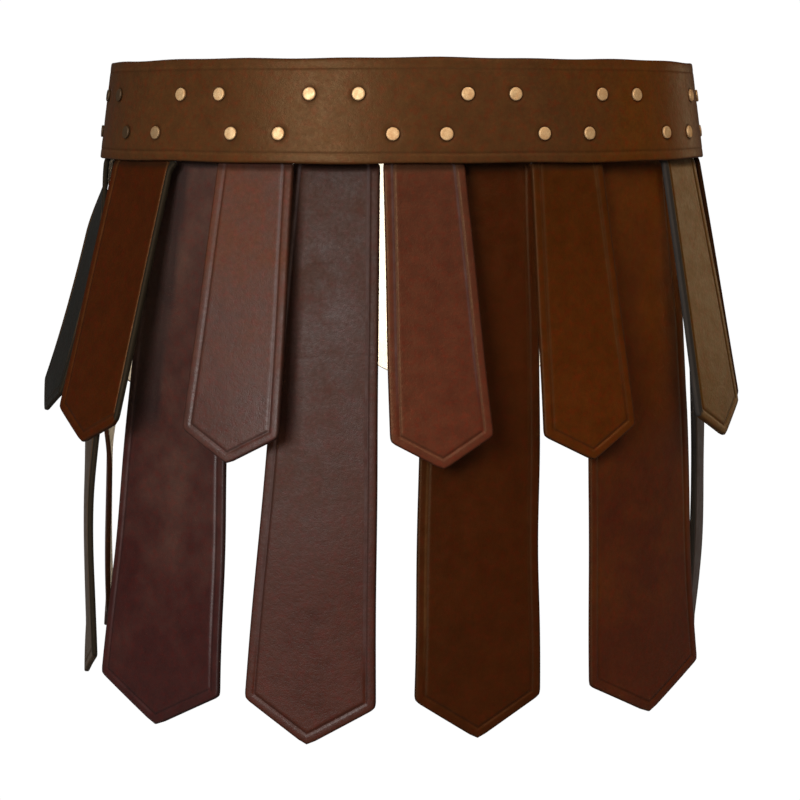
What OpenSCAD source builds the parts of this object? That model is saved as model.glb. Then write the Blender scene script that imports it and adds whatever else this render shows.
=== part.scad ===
// Leather belt skirt: a wide riveted waist band with two layers of hanging strips.
// Frame: X to the viewer's right, the front faces -Y, +Z up. The origin is on the
// centre line of the waist, level with the band's lower edge, where the strips start.

/* [Band] */
// Half the width of the waist, over the band's lower outer edge
waist_half_w = 210; // [200:1:225]
// Half the depth of the waist, front to back, over the same edge
waist_half_d = 168; // [162:1:178]
// Height of the band
belt_h = 63.5; // [60:0.5:72]
// Thickness of the band's leather, measured level
belt_wall = 4; // [3:0.1:5]
// Lean of the band's wall: the waist is narrower at the top
belt_tilt = 8.5; // [4:0.5:10]
// Gap between the band's two ends, behind the buckle
belt_gap = 5; // [3:0.5:6]
// Bevel along the band's edges
belt_bevel = 0.8; // [0.3:0.1:1.2]

/* [Strips] */
// Number of short strips, set evenly all round
short_count = 12; // [10:1:12]
// Number of long strips, between the short ones at the front and the sides
long_count = 8; // [4:2:8]
// Thickness of the strips' leather
strip_t = 3.4; // [2.8:0.1:4]
// Free space between the short strips and the long strips behind them
layer_gap = 4; // [3.6:0.1:5]
// Length of a short strip from the band to its shoulders
short_len = 166; // [120:1:200]
// Height of the point below a short strip's shoulders
short_point = 19; // [10:1:30]
// Width of a short strip where it leaves the band
short_top_w = 49; // [42:1:52]
// Width of a short strip at its shoulders
short_low_w = 65.6; // [50:0.2:68]
// Length of a long strip from the band to its shoulders
long_len = 332; // [260:1:400]
// Height of the point below a long strip's shoulders
long_point = 26; // [15:1:40]
// Width of a long strip where it leaves the band
long_top_w = 53; // [44:1:54]
// Width of a long strip at its shoulders
long_low_w = 88; // [70:1:90]

/* [Strip tops behind the band] */
// Width of the tops, narrow enough to lie side by side
top_w = 40; // [36:0.5:41]
// Height of a short strip's top
short_top_h = 24; // [22.6:0.2:24.4]
// Height of a long strip's top
long_top_h = 53; // [48:1:58]
// Height at which a long top starts to step inwards, behind the short layer
step_start_z = 12; // [8:1:18]
// Height at which it has finished that step
step_end_z = 3; // [1:0.5:6]

/* [Rivets] */
// Radius of a rivet's flat head
head_r = 4; // [3:0.1:4]
// Thickness of the head
head_h = 1.2; // [0.8:0.1:1.4]
// Radius of the rivet's shank
shank_r = 1.6; // [1.2:0.1:1.9]
// Radius of the washer on the inside
burr_r = 4.8; // [3.6:0.1:5]
// Thickness of that washer
burr_h = 1; // [0.6:0.1:1.4]
// Height of the upper row, which holds the long strips
upper_row_z = 41.7; // [41.2:0.1:45]
// Height of the lower row, which holds the short strips
lower_row_z = 17.8; // [14:0.1:18.4]
// Distance between a long strip's two rivets
upper_spread = 31.2; // [26:0.2:32]
// Distance between a short strip's two rivets
lower_spread = 33; // [28:0.2:33]

/* [Buckle closure] */
// Width of the buckled strap
strap_w = 15; // [12:0.5:15.2]
// Thickness of the buckled strap, and of the fold that holds the buckle
strap_t = 1.6; // [1.2:0.1:1.8]
// Height of the strap's centre on the band
strap_z = 29.8; // [29.6:0.1:30]
// Radius of the wire that the buckle is bent from
wire_r = 1.25; // [1:0.05:1.4]
// Distance between the buckle's two upright bars
buckle_len = 14.5; // [13.5:0.5:16]
// Width of the tongue
tongue_w = 2.6; // [2:0.1:3]
// Length of the strap past the buckle, to its tip
strap_tail = 45; // [36:1:60]

/* [Hidden] */
$fn = 64;
// Clearance between pieces that touch
seat = 0.2;
// Clearance round a shank in its hole
hole_fit = 0.1;
// Clearance at the bend, between a strip's top and its hanging part
bend_fit = 0.3;
// Clearance of parts that turn or slide
run_fit = 0.2;

// The waist is an oval of four arcs that meet where the wall faces 45 degrees
diag = sin(45);
arc_shift = (waist_half_w - waist_half_d) / (2 * diag - 1);
front_r = waist_half_d + arc_shift * diag;
side_r = waist_half_w - arc_shift * diag;
front_arc = front_r * PI / 4;
side_arc = side_r * PI / 2;
waist_length = 2 * (2 * front_arc + side_arc);
in_per_mm = tan(belt_tilt);

// Places are numbered from 0 at the front: even ones are short strips, odd ones long.
// The back has no long strips, so its odd places are empty
pitch = waist_length / (2 * short_count);
buckle_s = (short_count - 0.5) * pitch;

// Tones of the dyed leather
oxblood = "#3f1d17";
chestnut = "#532a16";
walnut = "#33190e";
olive = "#4b3820";

// How the strips were set and hang, place by place, from the left side over the front to
// the right: shift of the rivets along the band, shift of the blade, flare outwards, lean
// sideways, width over the usual at the band, the same at the shoulders, and tone.
// Shifts and widths are in steps, as the strips were cut and set by hand
step = 1;
first_seen = -7;
seen = [
    [0, 0, 6, 0, 0, 0, oxblood],
    [0, 0, 16, 0, 0, 0, walnut],
    [0, -6, 6, 0, 0, 0, olive],
    [0.5, 0.5, 17, 0, 18, 4, chestnut],
    [3.5, -10, 10, 2.5, 11, 13, oxblood],
    [-3.5, -4.5, 12, -1, 1, 1, chestnut],
    [-1.5, -2, 9, -1.5, 0, -5, oxblood],
    [2.5, 5.5, 10, 3, 1, -2, oxblood],
    [-1, -6.5, 6, -1.5, 16, -7, walnut],
    [0, 2, 9, 1.5, 3, 2, chestnut],
    [-5, 13, 7, -3, 23, 16, oxblood],
    [5.5, 13, 12, 0, 0, 3, olive],
    [2, 4, 2.5, 0, 0, 0, walnut],
    [0, 0, 11, 0, 0, 0, chestnut],
    [0, 0, 0.5, 0, 0, 0, oxblood]
];
usual_short = [0, 0, 10, 0, 0, 0, chestnut];

function hang(k) = k < first_seen || k >= first_seen + len(seen)
    ? usual_short : seen[k - first_seen];
function strip_s(k) = k * pitch + hang(k)[0] * step;
function blade_s(k) = k * pitch + hang(k)[1] * step;
function flare(k) = hang(k)[2];
function lean(k) = hang(k)[3];
function top_extra(k) = hang(k)[4] * step;
function low_extra(k) = hang(k)[5] * step;
function tone(k) = hang(k)[6];

// Direction that the wall faces at distance s along the oval, turned from -Y
function facing_of(q) = q < front_arc
    ? q / front_r * 180 / PI
    : q < front_arc + side_arc
        ? 45 + (q - front_arc) / side_r * 180 / PI
        : 135 + (q - front_arc - side_arc) / front_r * 180 / PI;
function facing(s) = sign(s) * facing_of(abs(s));

// Point at distance s along the oval, moved outwards by off
function arc_centre(f) = abs(f) <= 45 ? [0, arc_shift * diag]
    : abs(f) > 135 ? [0, -arc_shift * diag]
    : [sign(f) * arc_shift * diag, 0];
function arc_r(f) = abs(f) <= 45 || abs(f) > 135 ? front_r : side_r;
function oval_at(s, off) = arc_centre(facing(s))
    + (arc_r(facing(s)) + off) * [sin(facing(s)), -cos(facing(s))];

// Layers behind the band, as offsets from its lower outer edge
short_mid = -(belt_wall + seat + strip_t / 2);
long_mid = short_mid - strip_t - layer_gap;
bend_z = -(strip_t / 2 + bend_fit);
stack = (belt_wall + seat + strip_t) * cos(belt_tilt);
wall_only = belt_wall * cos(belt_tilt);

// Levels of the buckle, measured out from the band's face
loop_r = wire_r + run_fit + strap_t;
bar_off = run_fit + loop_r;
over_off = bar_off + loop_r + run_fit;
leaves_off = run_fit + 2 * strap_t;
heel_inset = 4.5;
heel_s = buckle_s + belt_gap / 2 + heel_inset;
strap_curve_r = (front_r - strap_z * in_per_mm) / cos(belt_tilt);
curve_step = 3;
fold_len = 30;
keeper_w = 5;
keeper_t = 1;
keeper_u = 24;
keeper_base = leaves_off + seat;
keeper_top = over_off + strap_t + run_fit;
fold_rivet_u = 11;
fold_rivets = [heel_s + fold_rivet_u, heel_s + keeper_u];
strap_rivet_u = 13;
strap_rivet_gap = 12;
strap_rivets = [buckle_s - strap_rivet_u, buckle_s - strap_rivet_u - strap_rivet_gap];
strap_root_u = 32;
strap_root = buckle_s - strap_root_u - heel_s;
// The strap rises through the frame between these distances in front of the heel bar
bar_space = 0.6;
rise_start = buckle_len - wire_r - bar_space;
rise_end = 4;

short_names = [for (i = [1 : short_count]) str("short_strip_", i)];
long_names = [for (i = [1 : long_count]) str("long_strip_", i)];
short_top_names = [for (i = [1 : short_count]) str("short_strip_top_", i)];
long_top_names = [for (i = [1 : long_count]) str("long_strip_top_", i)];

// Strips are numbered from the back, round by the left side and the front to the back again
function short_place(i) = 2 * (i - ceil(short_count / 2));
function long_place(i) = 2 * i - 1 - long_count;

// Revolves a wall's profile round the oval: x is the offset outwards, y the height
module oval_ring() {
    for (quarter = [0 : 3]) {
        f = quarter * 90;
        r = quarter % 2 == 0 ? front_r : side_r;
        centre = arc_centre(quarter == 3 ? -90 : f);
        translate(centre) rotate([0, 0, f - 135])
            rotate_extrude(angle = 90, $fn = 180) translate([r, 0]) children();
    }
}

// Local frame on the band's outer face: x along the band, y up the wall, z straight out
module on_wall(s, z) {
    p = oval_at(s, -z * in_per_mm);
    translate([p[0], p[1], z]) rotate([0, 0, facing(s)]) rotate([90 - belt_tilt, 0, 0])
        children();
}

// A block that picks one strip's width out of a ring
module width_at(s, w, high) {
    deep = 30;
    p = oval_at(s, 0);
    translate([p[0], p[1], 0]) rotate([0, 0, facing(s)])
        translate([-w / 2, -deep / 2, -high]) cube([w, deep, 3 * high]);
}

// Cross-section of the strap leather on the curved band, seen along the wall: distances
// run along the band from the buckle's heel bar, levels are measured out from its face
function curve_at(u, level) = let (a = u / strap_curve_r * 180 / PI)
    [(strap_curve_r + level) * sin(a), (strap_curve_r + level) * cos(a) - strap_curve_r];
function curve_run(from, to, level) = let (steps = ceil(abs(to - from) / curve_step))
    [for (i = [0 : steps]) curve_at(from + (to - from) * i / steps, level)];
function curved_bar(from, to, low, high) =
    concat(curve_run(from, to, low), curve_run(to, from, high));

// Leather of width w whose cross-section is the outline
module strap_piece(outline, w) {
    on_wall(heel_s, strap_z) rotate([90, 0, 0]) translate([0, 0, -w / 2])
        linear_extrude(w) polygon(outline);
}

module rivet_holes(places, row_z, spread) {
    for (k = places, side = [-1, 1])
        on_wall(strip_s(k) + side * spread / 2, row_z)
            translate([0, 0, -2 * stack]) cylinder(h = 4 * stack, r = shank_r + hole_fit);
}

module closure_holes(spots) {
    for (s = spots)
        on_wall(s, strap_z)
            translate([0, 0, -2 * stack]) cylinder(h = 6 * stack, r = shank_r + hole_fit);
}

// Head outside at level base, shank through the leather, peened end inside the washer
module rivet(base, depth) {
    peen_r = 2.5;
    peen_h = 0.7;
    peen_round = 0.5;
    head_round = 0.4;
    foot = -(depth + seat + burr_h + seat);
    top = base + seat;
    rotate_extrude() polygon([
        [0, foot - peen_h],
        [peen_r - peen_round, foot - peen_h],
        [peen_r, foot - peen_h / 2],
        [peen_r, foot],
        [shank_r, foot],
        [shank_r, top],
        [head_r, top],
        [head_r, top + head_h - head_round],
        [head_r - head_round, top + head_h],
        [0, top + head_h]
    ]);
}

module burr(depth) {
    translate([0, 0, -(depth + seat + burr_h)]) difference() {
        cylinder(h = burr_h, r = burr_r);
        translate([0, 0, -burr_h]) cylinder(h = 3 * burr_h, r = shank_r + hole_fit);
    }
}

module strip_rivets(places, row_z, spread) {
    for (k = places, side = [-1, 1])
        on_wall(strip_s(k) + side * spread / 2, row_z) rivet(0, stack);
}

module strip_burrs(places, row_z, spread) {
    for (k = places, side = [-1, 1])
        on_wall(strip_s(k) + side * spread / 2, row_z) burr(stack);
}

short_places = [for (i = [1 : short_count]) short_place(i)];
long_places = [for (i = [1 : long_count]) long_place(i)];

module belt_band() {
    deep = 5 * belt_wall;
    color(walnut) difference() {
        oval_ring() band_profile();
        on_wall(buckle_s, belt_h / 2) translate([-belt_gap / 2, -belt_h, -deep])
            cube([belt_gap, 2 * belt_h, 2 * deep]);
        rivet_holes(short_places, lower_row_z, lower_spread);
        rivet_holes(long_places, upper_row_z, upper_spread);
        closure_holes(concat(fold_rivets, strap_rivets));
    }
}

module band_profile() {
    b = belt_bevel;
    lean = -belt_h * in_per_mm;
    polygon([
        [-b, 0],
        [-b * in_per_mm, b],
        [lean + b * in_per_mm, belt_h - b],
        [lean - b, belt_h],
        [lean - belt_wall + b, belt_h],
        [lean - belt_wall + b * in_per_mm, belt_h - b],
        [-belt_wall - b * in_per_mm, b],
        [-belt_wall + b, 0]
    ]);
}

module short_top_profile() {
    outer = -belt_wall - seat;
    lean = -short_top_h * in_per_mm;
    polygon([
        [outer, 0],
        [outer + lean, short_top_h],
        [outer + lean - strip_t, short_top_h],
        [outer - strip_t, 0]
    ]);
}

module long_top_profile() {
    fold_h = 1;
    outer = -belt_wall - seat;
    inner = outer - strip_t;
    inwards = long_mid - short_mid;
    polygon([
        [outer + inwards, 0],
        [outer + inwards, step_end_z],
        [outer - step_start_z * in_per_mm, step_start_z],
        [outer - long_top_h * in_per_mm, long_top_h],
        [inner - long_top_h * in_per_mm, long_top_h],
        [inner - (step_start_z + fold_h) * in_per_mm, step_start_z + fold_h],
        [inner + inwards, step_end_z + fold_h],
        [inner + inwards, 0]
    ]);
}

module short_strip_top(k) {
    color(tone(k)) difference() {
        intersection() {
            oval_ring() short_top_profile();
            width_at(strip_s(k), top_w, belt_h);
        }
        rivet_holes([k], lower_row_z, lower_spread);
    }
}

module long_strip_top(k) {
    color(tone(k)) difference() {
        intersection() {
            oval_ring() long_top_profile();
            width_at(strip_s(k), top_w, belt_h);
        }
        rivet_holes([k], upper_row_z, upper_spread);
    }
}

function leaned(p, turn) = [
    p[0] * cos(turn) - p[1] * sin(turn),
    p[0] * sin(turn) + p[1] * cos(turn)
];

// The hanging part of a strip: a flat tapering plate with a point. Its rounded upper
// edge turns about the bend line, level with the band's lower edge
module blade(k, mid, top_width, low_width, length, point) {
    p = oval_at(blade_s(k), mid);
    half_top = (top_width + top_extra(k)) / 2;
    half_low = (low_width + low_extra(k)) / 2;
    color(tone(k)) translate([p[0], p[1], bend_z]) rotate([0, 0, facing(blade_s(k))])
        rotate([90 - flare(k), 0, 0]) {
            translate([0, 0, -strip_t / 2]) linear_extrude(strip_t) polygon([
                [-half_top, 0],
                leaned([-half_low, -length], lean(k)),
                leaned([0, -length - point], lean(k)),
                leaned([half_low, -length], lean(k)),
                [half_top, 0]
            ]);
            rotate([0, 90, 0])
                cylinder(h = 2 * half_top, r = strip_t / 2, center = true);
        }
}

module short_strip(k) {
    blade(k, short_mid, short_top_w, short_low_w, short_len, short_point);
}

module long_strip(k) {
    blade(k, long_mid, long_top_w, long_low_w, long_len, long_point);
}

// Slot for the tongue, through everything in its way
module tongue_slot(from, to) {
    slot_w = tongue_w + 4 * run_fit;
    on_wall(heel_s, strap_z) translate([from, -slot_w / 2, -loop_r])
        cube([to - from, slot_w, over_off + 4 * loop_r]);
}

// Strap of the closure: riveted to one end of the band, it runs under the buckle's
// front bar, up through the frame and over the heel bar, and has a round tip
module closure_strap() {
    round_s = strap_tail - strap_w / 2;
    color(walnut) difference() {
        intersection() {
            strap_piece(concat(
                curve_run(strap_root, -rise_start, run_fit),
                curve_run(-rise_end, strap_tail, over_off),
                curve_run(strap_tail, -rise_end, over_off + strap_t),
                curve_run(-rise_start, strap_root, run_fit + strap_t)
            ), strap_w);
            on_wall(heel_s, strap_z) translate([0, 0, -strap_curve_r / 2])
                linear_extrude(strap_curve_r) {
                    translate([2 * strap_root, -strap_w])
                        square([round_s - 2 * strap_root, 2 * strap_w]);
                    translate([round_s, 0]) circle(r = strap_w / 2);
                }
        }
        tongue_slot(-rise_start, 0);
        closure_holes(strap_rivets);
    }
}

// Folded piece that holds the buckle's heel bar, riveted to the other end of the band
module buckle_fold() {
    color(walnut) difference() {
        union() {
            strap_piece(concat(
                curve_run(0, fold_len, run_fit),
                curve_run(fold_len, 2 * loop_r, leaves_off),
                [[loop_r * diag, bar_off + loop_r * diag], [0, bar_off]]
            ), strap_w);
            on_heel_bar() cylinder(h = strap_w, r = loop_r, center = true);
        }
        on_heel_bar() cylinder(h = 2 * strap_w, r = wire_r + run_fit, center = true);
        tongue_slot(-2 * loop_r, loop_r * sqrt(2));
        closure_holes(fold_rivets);
    }
}

// Frame of the heel bar, with z along the bar
module on_heel_bar() {
    on_wall(heel_s, strap_z) translate([0, 0, bar_off]) rotate([90, 0, 0]) children();
}

// The buckle's frame lies in the plane of its two bars and follows the band's curve
frame_half = strap_w / 2 + 3 * run_fit + wire_r;
frame_drop = atan(-curve_at(-buckle_len, 0)[1] / buckle_len);

module wire(from, to) {
    run = to - from;
    translate(from) rotate([0, 90, atan2(run[1], run[0])])
        cylinder(h = norm(run), r = wire_r);
}

module buckle_frame() {
    corners = [
        [0, -frame_half, 0],
        [0, frame_half, 0],
        [-buckle_len, frame_half, 0],
        [-buckle_len, -frame_half, 0]
    ];
    color("#b08a4a") on_wall(heel_s, strap_z) translate([0, 0, bar_off])
        rotate([0, -frame_drop, 0]) for (i = [0 : 3]) {
            wire(corners[i], corners[(i + 1) % 4]);
            translate(corners[i]) sphere(r = wire_r);
        }
}

// The tongue turns on the heel bar and its tip lies on the front bar
module buckle_tongue() {
    eye_wall = 1.1;
    eye_r = wire_r + eye_wall;
    prong_t = 1.6;
    reach = buckle_len + prong_t;
    rise = asin((wire_r + prong_t / 2 + seat) / buckle_len) - frame_drop;
    color("#b08a4a") on_wall(heel_s, strap_z) translate([0, 0, bar_off])
        rotate([0, rise, 0]) difference() {
            union() {
                rotate([90, 0, 0]) cylinder(h = tongue_w, r = eye_r, center = true);
                translate([-reach, -tongue_w / 2, -prong_t / 2])
                    cube([reach, tongue_w, prong_t]);
            }
            rotate([90, 0, 0])
                cylinder(h = 2 * tongue_w, r = wire_r + run_fit / 2, center = true);
        }
}

// Loop that holds the strap's tail down, riveted on the fold
module strap_keeper() {
    half_w = strap_w / 2 + run_fit;
    from = keeper_u - keeper_w / 2;
    to = keeper_u + keeper_w / 2;
    inner = keeper_base + keeper_t;
    color(walnut) difference() {
        strap_piece(curved_bar(from, to, keeper_base, keeper_top + keeper_t),
            2 * (half_w + keeper_t));
        strap_piece(curved_bar(from - keeper_t, to + keeper_t, inner, keeper_top),
            2 * half_w);
        closure_holes([heel_s + keeper_u]);
    }
}

module closure_rivets() {
    color("#d39a6a") {
        on_wall(fold_rivets[0], strap_z) rivet(leaves_off, wall_only);
        on_wall(fold_rivets[1], strap_z) rivet(keeper_base + keeper_t, wall_only);
        for (s = strap_rivets) on_wall(s, strap_z) rivet(run_fit + strap_t, wall_only);
    }
}

module closure_burrs() {
    color("#c98d5e") {
        for (s = concat(fold_rivets, strap_rivets)) on_wall(s, strap_z) burr(wall_only);
    }
}

belt_band();
for (i = [1 : short_count]) {
    short_strip(short_place(i));
    short_strip_top(short_place(i));
}
for (i = [1 : long_count]) {
    long_strip(long_place(i));
    long_strip_top(long_place(i));
}
color("#d39a6a") strip_rivets(short_places, lower_row_z, lower_spread);  // short_rivets
color("#d39a6a") strip_rivets(long_places, upper_row_z, upper_spread);  // long_rivets
color("#c98d5e") strip_burrs(short_places, lower_row_z, lower_spread);  // short_rivet_burrs
color("#c98d5e") strip_burrs(long_places, upper_row_z, upper_spread);  // long_rivet_burrs
closure_strap();
buckle_fold();
buckle_frame();
buckle_tongue();
strap_keeper();
closure_rivets();
closure_burrs();
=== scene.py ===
"""Looks of the leather belt skirt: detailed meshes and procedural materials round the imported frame.

Lengths are in millimetres, as in the part's source, and become metres where a mesh is made.
"""

import math

import bpy
import numpy as np
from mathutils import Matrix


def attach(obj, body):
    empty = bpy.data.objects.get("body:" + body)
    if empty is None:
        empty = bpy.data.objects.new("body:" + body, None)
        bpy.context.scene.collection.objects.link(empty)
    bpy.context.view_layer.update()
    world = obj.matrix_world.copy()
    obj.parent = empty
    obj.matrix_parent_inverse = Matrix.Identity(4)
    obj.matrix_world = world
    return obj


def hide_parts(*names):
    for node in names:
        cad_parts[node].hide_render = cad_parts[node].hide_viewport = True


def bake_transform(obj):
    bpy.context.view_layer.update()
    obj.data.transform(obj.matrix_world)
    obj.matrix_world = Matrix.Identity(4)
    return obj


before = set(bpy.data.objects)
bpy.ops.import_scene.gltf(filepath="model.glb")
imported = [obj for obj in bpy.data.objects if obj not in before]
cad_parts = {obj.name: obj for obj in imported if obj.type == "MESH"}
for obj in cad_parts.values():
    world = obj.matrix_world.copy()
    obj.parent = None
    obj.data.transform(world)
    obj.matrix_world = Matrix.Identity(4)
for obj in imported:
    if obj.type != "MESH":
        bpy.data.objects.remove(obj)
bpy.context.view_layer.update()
MM = 0.001
rng = np.random.default_rng(24)

# Sizes of the part, the same as in its source
HALF_W = 210.0
HALF_D = 168.0
BELT_H = 63.5
BELT_WALL = 4.0
BELT_GAP = 5.0
TILT = math.radians(8.5)
SHORT_COUNT = 12
LONG_COUNT = 8
STRIP_T = 3.4
LAYER_GAP = 4.0
SEAT = 0.2
BEND_Z = -(STRIP_T / 2 + 0.3)
SHORT = {"length": 166.0, "point": 19.0, "top_w": 49.0, "low_w": 65.6, "top_h": 24.0}
LONG = {"length": 332.0, "point": 26.0, "top_w": 53.0, "low_w": 88.0, "top_h": 53.0}
TOP_W = 40.0
STEP_START_Z = 12.0
STEP_END_Z = 3.0
WIDEN = 7.0
HEAD_R = 4.0
HEAD_H = 1.2
SHANK_R = 1.6
BURR_H = 1.0
UPPER_ROW_Z = 41.7
LOWER_ROW_Z = 17.8
UPPER_SPREAD = 31.2
LOWER_SPREAD = 33.0

# The waist is an oval of four arcs that meet where the wall faces 45 degrees
DIAG = math.sqrt(0.5)
ARC_SHIFT = (HALF_W - HALF_D) / (2 * DIAG - 1)
FRONT_R = HALF_D + ARC_SHIFT * DIAG
SIDE_R = HALF_W - ARC_SHIFT * DIAG
FRONT_ARC = FRONT_R * math.pi / 4
SIDE_ARC = SIDE_R * math.pi / 2
WAIST = 2 * (2 * FRONT_ARC + SIDE_ARC)
PITCH = WAIST / (2 * SHORT_COUNT)
IN_PER_MM = math.tan(TILT)
BUCKLE_S = (SHORT_COUNT - 0.5) * PITCH
SHORT_MID = -(BELT_WALL + SEAT + STRIP_T / 2)
LONG_MID = SHORT_MID - STRIP_T - LAYER_GAP
STACK = (BELT_WALL + SEAT + STRIP_T) * math.cos(TILT)

# Tones of the dyed leather, as linear colours
TONES = {
    "umber": (0.094, 0.033, 0.011),
    "oxblood": (0.080, 0.0165, 0.009),
    "red_brown": (0.110, 0.023, 0.012),
    "liver": (0.070, 0.013, 0.005),
    "burgundy": (0.050, 0.010, 0.0085),
    "plum": (0.098, 0.042, 0.032),
    "tan": (0.105, 0.024, 0.006),
    "smoke": (0.052, 0.012, 0.003),
    "rust": (0.060, 0.0100, 0.0005),
    "russet": (0.140, 0.034, 0.0045),
    "chestnut": (0.075, 0.016, 0.0013),
    "cinnamon": (0.108, 0.022, 0.0023),
    "mahogany": (0.092, 0.016, 0.0055),
    "walnut": (0.051, 0.0085, 0.0009),
    "olive": (0.150, 0.060, 0.011),
    "moss": (0.070, 0.034, 0.013),
    "amber": (0.150, 0.042, 0.006),
    "mauve": (0.088, 0.028, 0.019),
    "ebony": (0.016, 0.0155, 0.014),
}

# How each strip hangs, from the left side over the front to the right: shift of its rivets
# along the band, shift of its blade, flare outwards, lean sideways, width over the usual at
# the band and at the shoulders, tone at the band and at the tip
SEEN = {
    -7: (0, 0, 6, 0, 0, 0, "oxblood", "oxblood"),
    -6: (0, 0, 16, 0, 0, 0, "ebony", "ebony"),
    -5: (0, -6, 6, 0, 0, 0, "moss", "moss"),
    -4: (0.5, 0.5, 17, 0, 18, 4, "rust", "rust"),
    -3: (3.5, -10, 10, 2.5, 11, 13, "plum", "burgundy"),
    -2: (-3.5, -4.5, 12, -1, 3, 1, "tan", "mauve"),
    -1: (-1.5, -2, 9, -1.5, 2, -5, "smoke", "liver"),
    0: (2.5, 5.5, 10, 3, 1, -2, "oxblood", "red_brown"),
    1: (-1, -6.5, 6, -1.5, 16, -7, "walnut", "walnut"),
    2: (0, 2, 9, 1.5, 3, 2, "chestnut", "cinnamon"),
    3: (-5, 13, 7, -3, 23, 16, "russet", "mahogany"),
    4: (5.5, 13, 12, 0, 0, 3, "olive", "olive"),
    5: (2, 4, 2.5, 0, 0, 0, "walnut", "walnut"),
    6: (0, 0, 11, 0, 0, 0, "chestnut", "chestnut"),
    7: (0, 0, 0.5, 0, 0, 0, "oxblood", "oxblood"),
}
USUAL_SHORT = (0, 0, 10, 0, 0, 0, "chestnut", "chestnut")

# How each kind hangs beyond the source: start and run of its twist and of its slow waves, how far
# its sides are cupped back, how high the waves are, and the step between its mesh's rows
SHORT_LOOKS = {"twist": (-5, 60), "cup": 0.8, "wave": 0.3, "waves": (60, 100), "row_step": 4.5}
LONG_LOOKS = {"twist": (110, 120), "cup": 1.5, "wave": 1.2, "waves": (190, 100), "row_step": 6.0}

# Some strips at the sides have twisted, by these degrees at the tip, or bellied outwards
TWIST = {-7: 27, -6: 18, -5: -8, 5: 2}
BELLY = {-7: 10, -6: -3, -5: 9, 5: 9}

# Sides of a strip, -1 left and 1 right, whose margin outside the tooled line gets painted shade in slate
SHADED_MARGIN_SIDES = {-6: (-1, 1), -5: (1,), -4: (1,), 4: (-1,), 5: (-1, 1)}

# Some strips were cut fuller on one side (-1 left, 1 right), by this much, and curl back there
FULL_SIDE = {(-3, -1): 4.0, (1, 1): 3.0, (3, 1): 11.0}

# The right margin of one strip is folded back, so that it looks narrower by this much
TUCKED = {-4: 3.6}

# Share of the usual painted highlight, with some wear, on the tooled line of one side of a strip
HIGHLIGHT_SHARE = {(-4, -1): 0.3, (-4, 1): 0.4, (-3, -1): 0.5, (-2, -1): 0.4, (1, 1): 0.2, (2, -1): 0.5,
              (4, 1): 0.2}

# How far the painted shadow beside the short strip on its left reaches on two of the long strips
SHADOW_EXTRA_REACH = {-3: 4.0, -1: 5.0}

# Gloss of the wax, and how much rougher some strips are at their upper end
USUAL_SHINE = 0.4
SHINE = {-3: 0.28, -2: 0.32, -1: 0.26}
BAND_SHINE = 0.18
MATT_TOP = {-2: 0.22, -1: 0.2}

# Strips whose inner side has the same dark material as the grain side
DARK_BACKS = (-6,)

# Fine soft wrinkles across a strip: distance below the band, depth and slope
WRINKLES = {-1: ((59, 0.09, -0.03), (117, 0.11, -0.05), (96, 0.05, 0.02)), -2: ((112, 0.05, 0.04),)}

# Rounding of a leather edge: how far in it starts, and how far the edge falls
FRONT_EDGE = (1.5, 1.2)
BACK_EDGE = (1.0, 0.8)
BAND_BACK_EDGE = (1.0, 0.7)

# Tooled line inside the edges, with a slight swelling on both sides
CREASE_IN = 6.0
CREASE_W = 0.85
CREASE_DEPTH = 0.5
SWELL_BESIDE = 2.2
SWELL_W = 0.9
SWELL_HEIGHT = 0.05

# Painted shade in that line, with darker dye, the darker burnished edge, and a painted highlight with some
# wear beside the line
LINE_SHADE_SHIFT = 0.7
LINE_SHADE_W = 0.6
LINE_SHADE = 0.6
EDGE_DARK_W = 0.9
EDGE_DARK = 0.8
HIGHLIGHT_SHIFT = 0.9
HIGHLIGHT_W = 0.75

# Distances of a leather mesh's lines from an edge: close on the rounding and the tooled line
EDGE_STEPS = np.array([0, 0.3, 0.8, 1.5, 2.8, 4.0, 4.8, 5.4, 6.0, 6.6, 7.2, 8.0, 9.2])


def hang(k):
    """How the strip at place k hangs."""
    return SEEN.get(k, USUAL_SHORT)


def strip_s(k):
    """Distance of place k's rivets from the front centre, along the band's lower edge."""
    return k * PITCH + hang(k)[0]


def blade_s(k):
    """Distance of place k's blade from the front centre, along the same edge."""
    return k * PITCH + hang(k)[1]


def facing(s):
    """Direction that the wall faces at distance s along the oval, in radians from -Y."""
    q = np.abs(s)
    side = math.pi / 4 + (q - FRONT_ARC) / SIDE_R
    back = 3 * math.pi / 4 + (q - FRONT_ARC - SIDE_ARC) / FRONT_R
    f = np.where(q < FRONT_ARC, q / FRONT_R, np.where(q < FRONT_ARC + SIDE_ARC, side, back))
    return np.where(np.asarray(s) < 0, -f, f)


def arc_radius(s):
    """Radius of the oval's arc at distance s."""
    q = np.abs(s)
    return np.where((q < FRONT_ARC) | (q >= FRONT_ARC + SIDE_ARC), FRONT_R, SIDE_R)


def oval(s, off):
    """Point at distance s along the oval, moved outwards by off: x and y."""
    f = facing(s)
    r = arc_radius(s)
    on_side = r == SIDE_R
    x = np.where(on_side, np.sign(f) * ARC_SHIFT * DIAG, 0.0)
    y = np.where(on_side, 0.0, np.where(np.abs(f) < math.pi / 2, 1.0, -1.0) * ARC_SHIFT * DIAG)
    return x + (r + off) * np.sin(f), y - (r + off) * np.cos(f)


def smooth_step(t):
    """Rises smoothly from 0 to 1 as t goes from 0 to 1."""
    t = np.clip(t, 0, 1)
    return t * t * (3 - 2 * t)


def ramp(value, start, run):
    """Rises smoothly from 0 at start to 1 at start + run; run may be negative."""
    return smooth_step((value - start) / run)


def edge_drop(d, r, depth):
    """How far a rounded edge falls below its face, at distance d from the edge."""
    inside = np.clip(r - d, 0, r)
    return depth / r * (r - np.sqrt(r * r - inside * inside))


def bell(distance, width):
    """1 at distance 0, falling smoothly to nearly 0 at twice the width."""
    return np.exp(-((distance / width) ** 2))


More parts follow.
